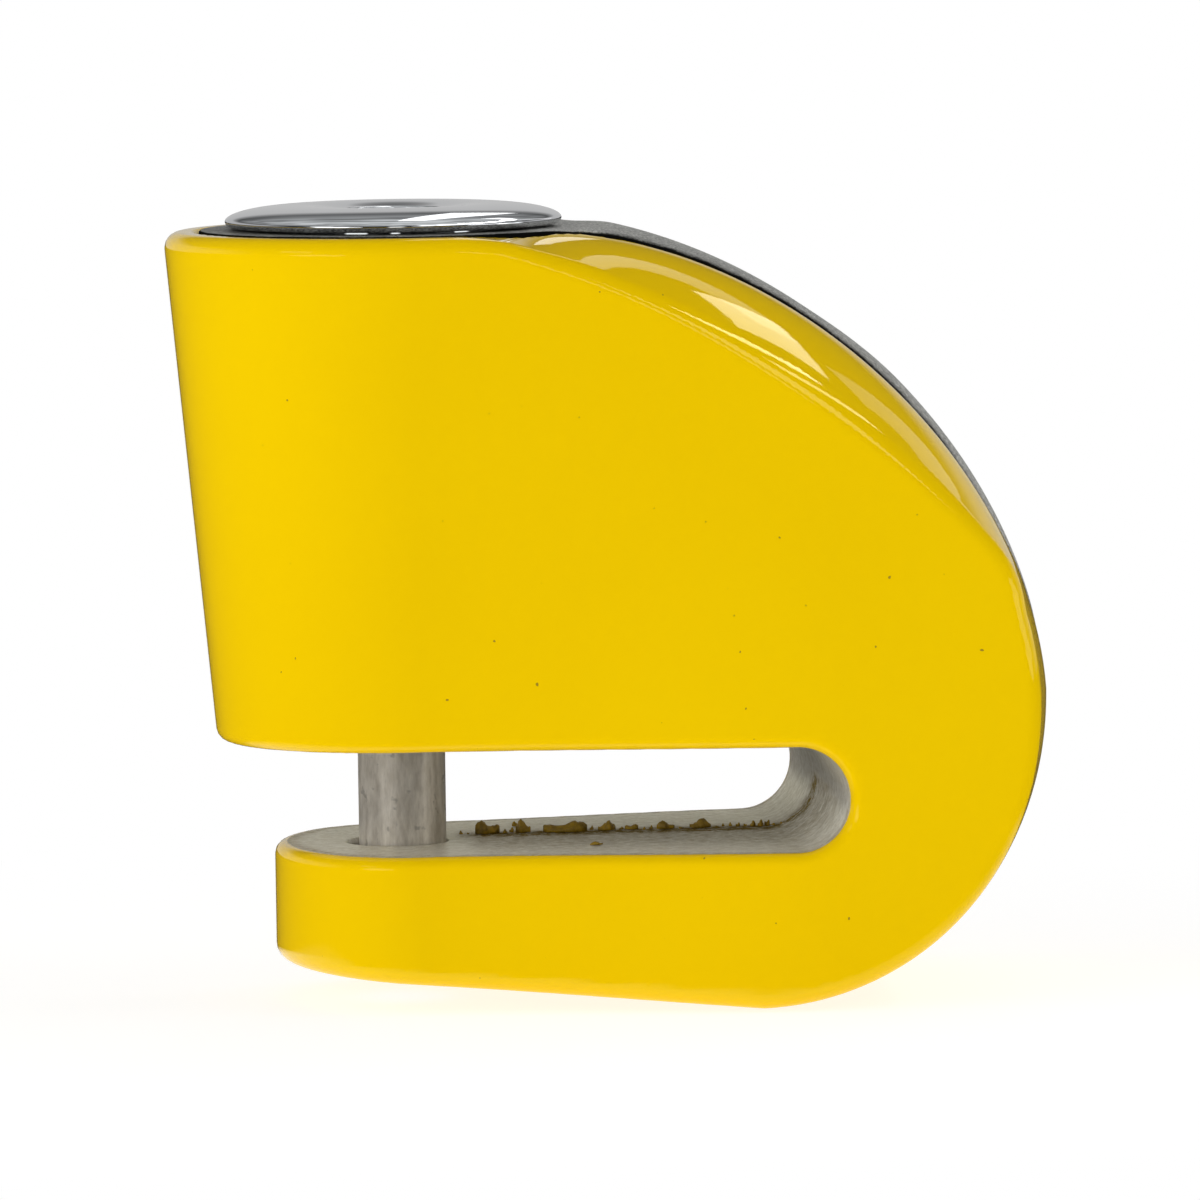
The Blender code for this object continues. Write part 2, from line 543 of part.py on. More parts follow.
def make_discs(brass, steel):
    z = DISC_BASE_Z
    for i in range(1, DISC_COUNT + 1):
        make_disc(f"detainer_disc_{i}", z, DISC_THICK, brass, True)
        z += DISC_THICK + DISC_GAP
        if i < DISC_COUNT:
            make_disc(f"disc_spacer_{i}", z, SPACER_THICK, steel, True)
            z += SPACER_THICK + DISC_GAP
    make_disc("guard_disc", GUARD_Z, GUARD_THICK, steel, False)


def make_cam(steel):
    profile = [(0, CAM_BASE_Z), (CAM_RADIUS, CAM_BASE_Z), (CAM_RADIUS, CAM_TOP_Z), (0, CAM_TOP_Z)]
    cam = finish("cam", lathe(profile, 36, closed=False), steel)
    bar = block((-CAM_BAR_HALF_X, -CAM_RADIUS + 0.1, CAM_TOP_Z - 0.5),
                (CAM_BAR_HALF_X, CAM_RADIUS - 0.1, CAM_TOP_Z + 1.1))
    combine(cam, finish("join_cam_bar", bar), "UNION")
    at = -CAM_OFFSET
    crank = rod(CAM_PIN_RADIUS, (at, at, LATCH_BASE_Z + 0.2), (at, at, CAM_BASE_Z + 0.6), 20)
    combine(cam, finish("join_cam_crank", crank), "UNION")


def make_latch(steel):
    """A flat bolt with a cross slot for the cam's crank pin."""
    middle = (LATCH_BASE_Z + LATCH_TOP_Z) / 2
    half = [(LATCH_NOSE_X, LATCH_NOSE_Y - 0.6), (LATCH_NOSE_X + 0.6, LATCH_NOSE_Y),
            (LATCH_NECK_X - 0.8, LATCH_NOSE_Y), (LATCH_NECK_X, LATCH_TAIL_Y), (LATCH_TAIL_X, LATCH_TAIL_Y)]
    outline = half + [(x, -y) for x, y in reversed(half)]
    flat = [(x, y, LATCH_BASE_Z) for x, y in outline]
    depth = (0, 0, LATCH_TOP_Z - LATCH_BASE_Z)
    latch = finish("latch_bolt", prism(flat, depth), steel, origin=(0, 0, middle))
    room = CAM_PIN_RADIUS + 0.2
    slot = block((-CAM_OFFSET - room, -LATCH_SLOT_Y, LATCH_BASE_Z - 1),
                 (-CAM_OFFSET + room, -0.1, LATCH_TOP_Z + 1))
    combine(latch, finish("cut_crank_slot", slot))


def make_retaining_key(steel):
    key = finish("retaining_key", block((KEY_INNER_X, -KEY_HALF_Y, KEY_BASE_Z),
                                        (KEY_OUTER_X, KEY_HALF_Y, KEY_TOP_Z)), steel)
    seat = KEY_TOP_Z - 1.3
    x = KEY_SCREW_X
    hole = lathe([(0, SCREW_TIP_Z), (KEY_SCREW_RADIUS + 0.2, SCREW_TIP_Z), (KEY_SCREW_RADIUS + 0.2, seat),
                  (KEY_HEAD_RADIUS + 0.15, seat), (KEY_HEAD_RADIUS + 0.15, FAR), (0, FAR)], 24)
    bmesh.ops.translate(hole, vec=(x, 0, 0), verts=hole.verts)
    combine(key, finish("cut_key_counterbore", hole))
    screw = lathe([(0, SCREW_TIP_Z), (KEY_SCREW_RADIUS, SCREW_TIP_Z), (KEY_SCREW_RADIUS, seat + 0.15),
                   (KEY_HEAD_RADIUS, seat + 0.15), (KEY_HEAD_RADIUS, seat + 1.1), (0, seat + 1.1)], 24)
    bmesh.ops.translate(screw, vec=(x, 0, 0), verts=screw.verts)
    head = finish("key_screw", screw, steel)
    socket = rod(KEY_SCREW_RADIUS - 0.2, (x, 0, seat + 0.5), (x, 0, FAR), 6)
    combine(head, finish("cut_key_socket", socket))


def main():
    clear_scene()
    frame = bpy.data.objects.new("lock_frame", None)
    bpy.context.scene.collection.objects.link(frame)
    frame.location = (PIN_BEHIND_ORIGIN * MM, 0, 0)
    yellow = material("yellow_paint", (0.85, 0.60, 0.0), 0.25, 0.0)
    grey = material("grey_trim", (0.22, 0.22, 0.20), 0.6, 0.2)
    chrome = material("chrome", (0.80, 0.80, 0.80), 0.08, 1.0)
    steel = material("steel", (0.55, 0.53, 0.49), 0.35, 1.0)
    zinc = material("plunger_zinc", (0.45, 0.45, 0.45), 0.45, 1.0)
    brass = material("brass", (0.70, 0.52, 0.20), 0.35, 1.0)
    rubber = material("rubber", (0.02, 0.02, 0.02), 0.8, 0.0)
    bronze = material("bush_bronze", (0.50, 0.33, 0.16), 0.45, 1.0)
    make_body(yellow)
    make_trim(grey)
    make_cap(chrome, steel)
    make_plunger(zinc)
    make_pin(steel, rubber)
    make_spring(steel)
    ring_plate("spring_washer", WASHER_RADIUS, PIN_HOLE_RADIUS, WASHER_BASE_Z, WASHER_TOP_Z, steel)
    ring_plate("guide_bush", BUSH_RADIUS, BUSH_HOLE, BUSH_BASE_Z, BUSH_TOP_Z, bronze)
    make_barrel(brass, steel)
    make_discs(brass, steel)
    make_cam(steel)
    make_latch(steel)
    make_retaining_key(steel)


main()
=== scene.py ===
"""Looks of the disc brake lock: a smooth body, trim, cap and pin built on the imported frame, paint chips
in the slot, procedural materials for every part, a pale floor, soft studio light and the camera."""

import json
from math import cos, pi, radians, sin, tan

import bpy
import numpy as np
from mathutils import Matrix, Vector

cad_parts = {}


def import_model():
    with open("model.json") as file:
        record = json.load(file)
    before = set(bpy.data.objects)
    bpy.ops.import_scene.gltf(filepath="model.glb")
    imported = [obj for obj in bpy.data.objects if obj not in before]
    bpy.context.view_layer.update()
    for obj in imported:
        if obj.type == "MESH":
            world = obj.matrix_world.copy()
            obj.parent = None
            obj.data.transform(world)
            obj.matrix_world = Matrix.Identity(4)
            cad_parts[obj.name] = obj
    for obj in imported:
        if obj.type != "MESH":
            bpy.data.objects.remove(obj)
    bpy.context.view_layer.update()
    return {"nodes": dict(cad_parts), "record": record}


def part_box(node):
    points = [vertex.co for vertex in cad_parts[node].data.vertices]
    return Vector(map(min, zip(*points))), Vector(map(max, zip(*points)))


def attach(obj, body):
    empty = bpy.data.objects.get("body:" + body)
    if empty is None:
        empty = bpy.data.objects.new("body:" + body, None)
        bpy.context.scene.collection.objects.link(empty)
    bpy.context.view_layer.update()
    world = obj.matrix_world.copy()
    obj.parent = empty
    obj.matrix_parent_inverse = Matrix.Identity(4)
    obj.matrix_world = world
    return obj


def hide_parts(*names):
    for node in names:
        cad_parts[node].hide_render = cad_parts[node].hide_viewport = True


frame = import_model()

MM = 0.001
LOW_PIN, HIGH_PIN = (np.array(c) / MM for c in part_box("locking_pin"))
LOW_BODY, HIGH_BODY = (np.array(c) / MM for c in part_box("lock_body"))
LOW_CAP, HIGH_CAP = (np.array(c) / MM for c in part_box("button_cap"))
LOW_PLUNGER, HIGH_PLUNGER = (np.array(c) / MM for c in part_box("plunger"))
PIN_X = (LOW_PIN[0] + HIGH_PIN[0]) / 2  # the pin axis; shapes below are drawn about it, in mm
PIN_RADIUS = (HIGH_PIN[0] - LOW_PIN[0]) / 2
BORE_RADIUS = (HIGH_PLUNGER[0] - LOW_PLUNGER[0]) / 2 + 0.2
CAP_RADIUS = (HIGH_CAP[0] - LOW_CAP[0]) / 2
CAP_TOP = HIGH_CAP[2]
SIDE = HIGH_BODY[1]
SLOT = next(m for m in frame["record"]["mounts"] if m["name"] == "slot_upper_face")["pos_m"][2] / MM

TOP = 41.35
CAP_BASE = 41.57
SLOT_END = 24.95
JAW_FRONT, JAW_WIDTH = 8.6, 11.74
TRIM_R = 13.1
STRIP, STRIP_END = 8.0, 4.4
TRIM_DEPTH = 1.3
HUMP = (9.0, 9.0, 33.8, 32.36)  # centre x and z, length and height of the top and back curve
HEEL = (22.6, -10.0, 20.16, 20.43)  # the same for the heel, drawn upside down
SIDE_HEEL = (21.35, -9.57, 19.8, 20.0)
POWER, HEEL_POWER = 1.80, 2.08
CREASE_X, CREASE_Z, CREASE_RADIUS = -20.1, -35.3, 80.6
UPPER_HALF_Z = 10.0
UNDERSIDE_LEAN = 0.9968  # makes a height above the sloping underside a distance from it
STRIP_LOW_Z = 11.7
STRIP_MEETS_RING_X = 10.37
BORE_FLOOR_Z = 13.0
THROAT_RADIUS, THROAT_LOW_Z = 3.3, 4.0
BUSH_RADIUS, BUSH_LOW_Z, BUSH_TOP_Z = 4.5, 8.0, 15.0
JAW_HOLE_X, JAW_HOLE_RADIUS, JAW_HOLE_LOW_Z = -0.36, 3.45, -4.6
LATCH_GROOVE = ((-11.2, -2.7, 24.5), (-6.0, 2.7, 37.8))
KEY_POCKET = ((6.0, -2.1, 35.2), (13.9, 2.1, 44.0))
SCREW_X, SCREW_RADIUS, SCREW_LOW_Z, SCREW_TOP_Z = 11.5, 1.1, 29.5, 37.0
CAP_EDGE, CAP_ROUNDING, DISH_DEPTH = 0.40, 5.0, 0.3
KEYWAY_RADIUS, SOCKET_RADIUS, SOCKET_WALL_RADIUS, SOCKET_DEPTH = 3.3, 5.3, 6.6, 2.95
PIN_ROUNDING = 0.8
CRUMB_GAP = 0.04


# ---------------------------------------------------------------- shapes as distance functions


def step(value, low, high):
    share = np.clip((value - low) / (high - low), 0.0, 1.0)
    return share * share * (3 - 2 * share)


def both(a, b, radius):
    """Intersection of two shapes with a rounded edge."""
    u, v = np.maximum(radius + a, 0), np.maximum(radius + b, 0)
    return np.minimum(-radius, np.maximum(a, b)) + np.hypot(u, v)


def softer_max(a, b, width):
    """The larger of two values, with the change from one to the other spread over a width."""
    near = np.maximum(width - np.abs(a - b), 0)
    return np.maximum(a, b) + near * near / (4 * width)


def minus(a, b, radius):
    return both(a, -b, radius)


def hump(x, z, shape, power=POWER):
    """Distance to a superellipse's quarter: the top and back curve, or the heel upside down."""
    cx, cz, length, height = shape
    u = np.maximum(x - cx, 0.0) / length
    v = np.maximum(z - cz, 0.0) / height
    level = np.maximum(u**power + v**power, 1e-9)
    value = level ** (1 / power)
    gx = (u / value) ** (power - 1) / length
    gz = (v / value) ** (power - 1) / height
    return (value - 1) / np.maximum(np.hypot(gx, gz), 1e-3)


def underside(x):
    return -8.6 - 0.08 * x


def middle_line(x, z):
    """The outline over the trim strip's width."""
    top = np.maximum(hump(x, z, HUMP), z - TOP)
    heel = hump(x, -z, HEEL, HEEL_POWER)
    outer = np.where(z > UPPER_HALF_Z, top, heel)
    return np.maximum(outer, (underside(x) - z) * UNDERSIDE_LEAN)


def side_line(x, z):
    """The outline of the flat side: the shoulder crease above, the round heel below."""
    crease = np.hypot(x - CREASE_X, z - CREASE_Z) - CREASE_RADIUS
    heel_x, heel_z, heel_radius = SIDE_HEEL[0], -SIDE_HEEL[1], SIDE_HEEL[2]
    heel = np.where(z > heel_z, np.hypot(x - heel_x, z - heel_z) - heel_radius,
                    hump(x, -z, SIDE_HEEL, HEEL_POWER))
    share = step(z, 15.0, 21.5)
    outer = heel * (1 - share) + crease * share
    outer = np.where(z > UPPER_HALF_Z, softer_max(outer, z - TOP, 0.8), outer)
    return np.maximum(outer, (underside(x) - z) * UNDERSIDE_LEAN)


def nose_radius(z):
    return 12.38 + 0.0908 * (z - 7.04)


def plan(x, y, z):
    """Rounded front, then sides that widen smoothly to the back."""
    share = step(z, 2.0, 5.0)
    front = JAW_FRONT + (nose_radius(z) - JAW_FRONT) * share
    width = JAW_WIDTH + (nose_radius(z) - JAW_WIDTH) * share
    tip = np.hypot(x / front, y / width)
    front = (tip - 1) / np.maximum(np.hypot(x / front**2, y / width**2) / np.maximum(tip, 1e-6), 1e-3)
    wide = width + (SIDE - width) * step(x, 0.0, 28.0)
    return np.where(x > 0, np.abs(y) - wide, front)


def shoulder(x, y, z):
    """Blends the middle outline into the side outline over a convex shoulder."""
    share = np.clip((np.abs(y) - STRIP) / (SIDE - STRIP), 0.0, 1.0)
    drop = share ** (1.25 + 0.5 * step(z, 10.0, 25.0))
    return middle_line(x, z) * (1 - drop) + side_line(x, z) * drop


def strip_width(x, z, extra):
    done = np.clip((x - TRIM_R) / (HUMP[0] + HUMP[2] - TRIM_R), 0, 1)
    width = STRIP + (STRIP_END - STRIP) * done + extra
    low = np.clip((17.0 + extra - z) / (5.3 + extra), 0, 1)
    return width * np.sqrt(np.clip(1 - low * low, 0, 1))


def strip_side(x, y, z, extra):
    """Distance to the trim's outline as seen from above and behind."""
    disc = np.hypot(x, y) - (TRIM_R + extra)
    strip = np.abs(y) - strip_width(x, z, extra)
    strip = np.where(x > 0, strip, np.maximum(strip, -x))
    strip = np.where(z < STRIP_LOW_Z - extra, np.maximum(strip, STRIP_LOW_Z - extra - z), strip)
    gap = np.clip(1.0 - np.abs(disc - strip) / 2.0, 0, 1)
    return np.minimum(disc, strip) - gap * gap * 0.5


def slot_hole(x, z):
    half = SLOT / 2
    return np.where(x > SLOT_END, np.hypot(x - SLOT_END, z - half), np.abs(z - half)) - half


def box(x, y, z, low, high):
    low, high = np.array(low), np.array(high)
    centre, half = (low + high) / 2, (high - low) / 2
    return np.maximum(np.maximum(np.abs(x - centre[0]) - half[0], np.abs(y - centre[1]) - half[1]),
                      np.abs(z - centre[2]) - half[2])


def outer_body(x, y, z):
    """The outside of the casting, before anything is cut from it."""
    radius = 1.2 - 0.35 * step(x, 0.0, 14.0) * step(z, 0.0, 3.0) - 0.15 * step(-z, 0.0, 3.0)
    return both(plan(x, y, z), shoulder(x, y, z), radius)


def body(x, y, z):
    solid = outer_body(x, y, z)
    recess = np.maximum(strip_side(x, y, z, 0.3), -(middle_line(x, z) + TRIM_DEPTH + 0.3))
    recess = np.where(z > 8, recess, 9.0)
    solid = minus(solid, recess, 0.28)
    solid = minus(solid, slot_hole(x, z), 0.8)
    around = np.hypot(x, y)
    bore = np.maximum(around - BORE_RADIUS, BORE_FLOOR_Z - z)
    throat = np.maximum(around - THROAT_RADIUS, np.maximum(THROAT_LOW_Z - z, z - BUSH_TOP_Z))
    bush = np.maximum(around - BUSH_RADIUS, np.maximum(BUSH_LOW_Z - z, z - BUSH_TOP_Z))
    hole = np.hypot(x - JAW_HOLE_X, y) - JAW_HOLE_RADIUS
    hole = np.maximum(hole, np.maximum(JAW_HOLE_LOW_Z - z, z - THROAT_LOW_Z))
    groove = box(x, y, z, *LATCH_GROOVE)
    pocket = box(x, y, z, *KEY_POCKET)
    screw = np.hypot(x - SCREW_X, y) - SCREW_RADIUS
    screw = np.maximum(screw, np.maximum(SCREW_LOW_Z - z, z - SCREW_TOP_Z))
    holes = np.minimum.reduce([bore, bush, groove, pocket, screw])
    solid = np.maximum(solid, -holes)
    return minus(solid, np.minimum(throat, hole), 0.15)


def crown_height(x):
    return 0.07 + 0.73 * step(x, 10.5, 15.0) + 0.28 * step(x, 27.0, 34.0)


def trim(x, y, z):
    """The strip: a crowned top over the body line, let in by its depth."""
    line = np.maximum(hump(x, z, HUMP), z - TOP)
    height = crown_height(x)
    ring_width = np.sqrt(np.clip(TRIM_R**2 - np.clip(x, 0, None) ** 2, 1, None))
    width = np.where(x > STRIP_MEETS_RING_X, strip_width(x, z, 0.0), ring_width)
    across = np.where(x > 0, np.abs(y) / np.maximum(width, 0.8), np.hypot(x, y) / TRIM_R)
    dome = np.clip(1 - across**2, 0, 1)
    edge = np.minimum(0.25, height)
    top = line - edge - (height - edge) * dome
    side = strip_side(x, y, z, 0.0)
    solid = both(side, top, 0.2)
    solid = np.maximum(solid, -(line + TRIM_DEPTH))
    solid = np.maximum(solid, 11.9 - z)
    return minus(solid, np.hypot(x, y) - (BORE_RADIUS + 0.3), 0.2)


# ---------------------------------------------------------------- meshes from distance functions


def slope_of(shape, points, reach=0.01):
    grads = np.empty_like(points)
    for axis in range(3):
        push = np.zeros(3)
        push[axis] = reach
        high, low = points + push, points - push
        grads[:, axis] = (shape(*high.T) - shape(*low.T)) / (2 * reach)
    return grads


def contour(shape, low, high, cell):
    """Dual contouring: one vertex in each crossed cell, set on the planes of its crossings, so
    that rounded parts are smooth and edges stay crisp."""
    axes = [np.arange(low[i] - 2.03 * cell, high[i] + 2.5 * cell, cell) for i in range(3)]
    grid = np.meshgrid(*axes, indexing="ij")
    value = shape(*grid)
    inside = value < 0
    counts = np.array(value.shape)
    cells = counts - 1
    sums_a = np.zeros((int(np.prod(cells)), 6))
    sums_b = np.zeros((int(np.prod(cells)), 3))
    mass = np.zeros((int(np.prod(cells)), 4))
    quads = []
    for axis in range(3):
        here = [slice(None)] * 3
        there = [slice(None)] * 3
        here[axis], there[axis] = slice(0, -1), slice(1, None)
        crossed = inside[tuple(here)] != inside[tuple(there)]
        index = np.argwhere(crossed)
        start = value[tuple(here)][crossed]
        end = value[tuple(there)][crossed]
        base = np.stack([axes[k][index[:, k]] for k in range(3)], 1)
        near, far = np.zeros(len(start)), np.ones(len(start))
        near_value, far_value = start, end
        for _ in range(6):
            share = near + (far - near) * near_value / (near_value - far_value)
            share = 0.5 * share + 0.25 * (near + far)
            point = base.copy()
            point[:, axis] += share * cell
            middle = shape(*point.T)
            same = (middle < 0) == (near_value < 0)
            near, near_value = np.where(same, share, near), np.where(same, middle, near_value)
            far, far_value = np.where(same, far, share), np.where(same, far_value, middle)
        share = near + (far - near) * near_value / (near_value - far_value)
        point = base.copy()
        point[:, axis] += share * cell
        normal = slope_of(shape, point)
        normal /= np.maximum(np.linalg.norm(normal, axis=1, keepdims=True), 1e-9)
        others = [k for k in range(3) if k != axis]
        corners = []
        for da, db in ((0, 0), (1, 0), (1, 1), (0, 1)):
            around = index.copy()
            around[:, others[0]] -= da
            around[:, others[1]] -= db
            flat = (around[:, 0] * cells[1] + around[:, 1]) * cells[2] + around[:, 2]
            corners.append(flat)
            dot = (normal * point).sum(1)
            pairs = ((0, 0), (0, 1), (0, 2), (1, 1), (1, 2), (2, 2))
            for slot_index, (i, j) in enumerate(pairs):
                sums_a[:, slot_index] += np.bincount(flat, normal[:, i] * normal[:, j], len(sums_a))
            for i in range(3):
                sums_b[:, i] += np.bincount(flat, normal[:, i] * dot, len(sums_b))
                mass[:, i] += np.bincount(flat, point[:, i], len(mass))
            mass[:, 3] += np.bincount(flat, minlength=len(mass))
        quad = np.stack(corners, 1)
        turn = start < 0
        if axis == 1:
            turn = ~turn
        quad[~turn] = quad[~turn][:, ::-1]
        quads.append(quad)
    used = np.flatnonzero(mass[:, 3] > 0)
    centre = mass[used, :3] / mass[used, 3:]
    a = sums_a[used]
    matrix = np.stack([a[:, [0, 1, 2]], a[:, [1, 3, 4]], a[:, [2, 4, 5]]], 1)
    matrix = matrix + 0.02 * np.eye(3)
    right = sums_b[used] + 0.02 * centre
    points = np.linalg.solve(matrix, right[:, :, None])[:, :, 0]
    corner = np.stack(np.unravel_index(used, cells), 1)
    floor = np.stack([axes[k][corner[:, k]] for k in range(3)], 1)
    points = np.clip(points, floor - 0.02 * cell, floor + 1.02 * cell)
    number = np.full(int(np.prod(cells)), -1)
    number[used] = np.arange(len(used))
    return points, number[np.concatenate(quads)]


def settle(shape, points, cell):
    """Draws the vertices onto the surface, at most a fifth of a cell in each pass."""
    for _ in range(2):
        value = shape(*points.T)
        grads = slope_of(shape, points)
        size = (grads**2).sum(1)
        push = -(value / np.maximum(size, 0.2))[:, None] * grads
        length = np.linalg.norm(push, axis=1, keepdims=True)
        points = points + push * np.minimum(1.0, 0.2 * cell / np.maximum(length, 1e-9))
    return points


def mesh_object(name, points, faces, material, body_name, node, normals=None):
    mesh = bpy.data.meshes.new(name)
    world = (np.asarray(points) + np.array([PIN_X, 0, 0])) * MM
    mesh.from_pydata(world.tolist(), [], [list(map(int, f)) for f in faces])
    mesh.update()
    obj = bpy.data.objects.new(name, mesh)
    bpy.context.scene.collection.objects.link(obj)
    mesh.shade_smooth()
    if normals is not None:
        mesh.normals_split_custom_set(normals.reshape(-1, 3).tolist())
    mesh.materials.append(material)
    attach(obj, body_name)
    if node:
        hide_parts(node)
    return obj


def solid_from(name, shape, low, high, cell, material, body_name, node):
    points, faces = contour(shape, low, high, cell)
    points = settle(shape, points, cell)
    centres = points[faces].mean(1)
    corners = points[faces] + 0.22 * (centres[:, None, :] - points[faces])
    normals = slope_of(shape, corners.reshape(-1, 3))
    normals /= np.maximum(np.linalg.norm(normals, axis=1, keepdims=True), 1e-9)
    return mesh_object(name, points, faces, material, body_name, node, normals), points


def lathe_object(name, profile, segments, material, body_name, node, sharp=40):
    """Turns a closed profile of (radius, z) about the pin axis."""
    points, faces = [], []
    index = []
    for r, z in profile:
        if r < 1e-6:
            index.append([len(points)] * segments)
            points.append((0, 0, z))
        else:
            index.append(list(range(len(points), len(points) + segments)))
            for k in range(segments):
                a = 2 * pi * k / segments
                points.append((r * cos(a), r * sin(a), z))
    for i in range(len(profile)):
        low, high = index[i], index[(i + 1) % len(profile)]
        if profile[i][0] < 1e-6 and profile[(i + 1) % len(profile)][0] < 1e-6:
            continue
        for k in range(segments):
            j = (k + 1) % segments
            face = [low[k], low[j], high[j], high[k]]
            faces.append(list(dict.fromkeys(face)))
    obj = mesh_object(name, points, faces, material, body_name, node)
    obj.data.set_sharp_from_angle(angle=radians(sharp))
    return obj


def arc(cx, cz, radius, start, end, steps):
    return [(cx + radius * cos(radians(start + (end - start) * i / steps)),
             cz + radius * sin(radians(start + (end - start) * i / steps))) for i in range(steps + 1)]


# ---------------------------------------------------------------- materials


class Nodes:
    """A short way to write a node material."""

    def __init__(self, name):
        self.material = bpy.data.materials.new(name)
        self.material.use_nodes = True
        self.tree = self.material.node_tree
        self.shader = self.tree.nodes["Principled BSDF"]
        self.place = self.add("ShaderNodeNewGeometry").outputs["Position"]
        self.coords = self.add("ShaderNodeTexCoord").outputs["Object"]

    def add(self, kind, **settings):
        node = self.tree.nodes.new(kind)
        for key, value in settings.items():
            setattr(node, key, value)
        return node

    def link(self, source, target):
        self.tree.links.new(source, target)

    def noise(self, scale, detail=3.0, rough=0.5, stretch=(1, 1, 1), distortion=0.0):
        mapping = self.add("ShaderNodeMapping")
        mapping.inputs["Scale"].default_value = stretch
        self.link(self.coords, mapping.inputs["Vector"])
        node = self.add("ShaderNodeTexNoise")
        node.inputs["Scale"].default_value = scale
        node.inputs["Detail"].default_value = detail
        node.inputs["Roughness"].default_value = rough
        node.inputs["Distortion"].default_value = distortion
        self.link(mapping.outputs["Vector"], node.inputs["Vector"])
        return node.outputs["Fac"]

    def ramp(self, source, *stops):
        node = self.add("ShaderNodeValToRGB")
        bar = node.color_ramp
        while len(bar.elements) < len(stops):
            bar.elements.new(0.5)
        for element, (place, colour) in zip(bar.elements, stops):
            element.position = place
            element.color = colour if len(colour) == 4 else (*colour, 1)
        self.link(source, node.inputs["Fac"])
        return node.outputs["Color"]

    def math(self, kind, first, second=0.0, third=0.0):
        node = self.add("ShaderNodeMath", operation=kind)
        for socket, value in zip(node.inputs, (first, second, third)):
            if isinstance(value, (int, float)):
                socket.default_value = value
            else:
                self.link(value, socket)
        return node.outputs[0]

    def mix(self, share, first, second):
        node = self.add("ShaderNodeMix", data_type="RGBA")
        for socket, value in ((node.inputs[0], share), (node.inputs[6], first), (node.inputs[7], second)):
            if hasattr(value, "node"):
                self.link(value, socket)
            else:
                socket.default_value = value if isinstance(value, (int, float)) else (*value[:3], 1)
        return node.outputs[2]

    def attribute(self, name):
        return self.add("ShaderNodeAttribute", attribute_name=name).outputs["Fac"]

    def set(self, name, value):
        socket = self.shader.inputs[name]
        if hasattr(value, "node"):
            self.link(value, socket)
        else:
            socket.default_value = value if isinstance(value, (int, float)) else (*value[:3], 1)

    def bump(self, height, strength, distance):
        node = self.add("ShaderNodeBump")
        node.inputs["Strength"].default_value = strength
        node.inputs["Distance"].default_value = distance
        self.link(height, node.inputs["Height"])
        self.link(node.outputs["Normal"], self.shader.inputs["Normal"])


BLACK, WHITE = (0, 0, 0), (1, 1, 1)


def paint_material():
    """Glossy yellow coat that stops in the slot, where the bare metal shows."""
    n = Nodes("yellow_coat")
    depth = n.attribute("slot_depth")
    ragged = n.noise(900, 4, 0.6)
    edge = n.math("ADD", depth, n.math("MULTIPLY", n.math("SUBTRACT", ragged, 0.5), 0.35))
    bare = n.math("GREATER_THAN", edge, 0.80)
    broad = n.noise(35, 2)
    yellow = n.ramp(broad, (0.35, (0.885, 0.580, 0.0)), (0.65, (0.905, 0.600, 0.0)))
    speck = n.math("GREATER_THAN", n.noise(2300, 1, 0.3), 0.83)
    yellow = n.mix(speck, yellow, (0.35, 0.22, 0.02))
    grain = n.noise(2600, 3, 0.7)
    fleck = n.ramp(n.noise(1100, 5, 0.75), (0.42, BLACK), (0.60, WHITE))
    metal = n.mix(n.ramp(grain, (0.35, BLACK), (0.75, WHITE)), (0.68, 0.66, 0.62), (0.97, 0.96, 0.92))
    metal = n.mix(n.math("MULTIPLY", fleck, 0.35), metal, (0.30, 0.25, 0.16))
    # dark olive patches on the bare metal: grime along the line of chips, with the chips' shadow and
    # reflection painted on beside it
    dirt_and_shade = n.attribute("slot_dirt_and_shade")
    speckle = n.ramp(n.noise(1500, 4, 0.7, distortion=0.5), (0.36, BLACK), (0.62, WHITE))
    smear_and_shade = n.math("MINIMUM", n.math("MULTIPLY", dirt_and_shade, n.math("MULTIPLY_ADD", speckle, 1.3, 0.25)), 0.95)
    # olive-dark colour of the grime and the painted shade
    metal = n.mix(smear_and_shade, metal, n.mix(grain, (0.07, 0.05, 0.010), (0.38, 0.26, 0.035)))
    n.set("Base Color", n.mix(bare, yellow, metal))
    matte = n.math("MULTIPLY", bare, smear_and_shade)
    clean = n.math("SUBTRACT", bare, matte)
    rough = n.math("MULTIPLY_ADD", matte, 0.6, n.math("MULTIPLY", bare, 0.30))
    n.set("Metallic", n.math("MULTIPLY", clean, 0.3))
    n.set("Roughness", n.math("ADD", rough, n.math("MULTIPLY_ADD", broad, 0.02, 0.025)))
    n.set("Specular IOR Level", n.math("MULTIPLY_ADD", matte, -0.5, 0.5))
    n.set("IOR", 1.5)
    n.set("Specular Tint", (1.0, 0.92, 0.45))
    peel = n.math("MULTIPLY", n.noise(420, 2), 0.15)
    rough_metal = n.math("MULTIPLY", n.math("MULTIPLY", bare, n.noise(1800, 4, 0.7)), 1.2)
    n.bump(n.math("ADD", peel, rough_metal), 0.25, 0.00006)
    return n.material


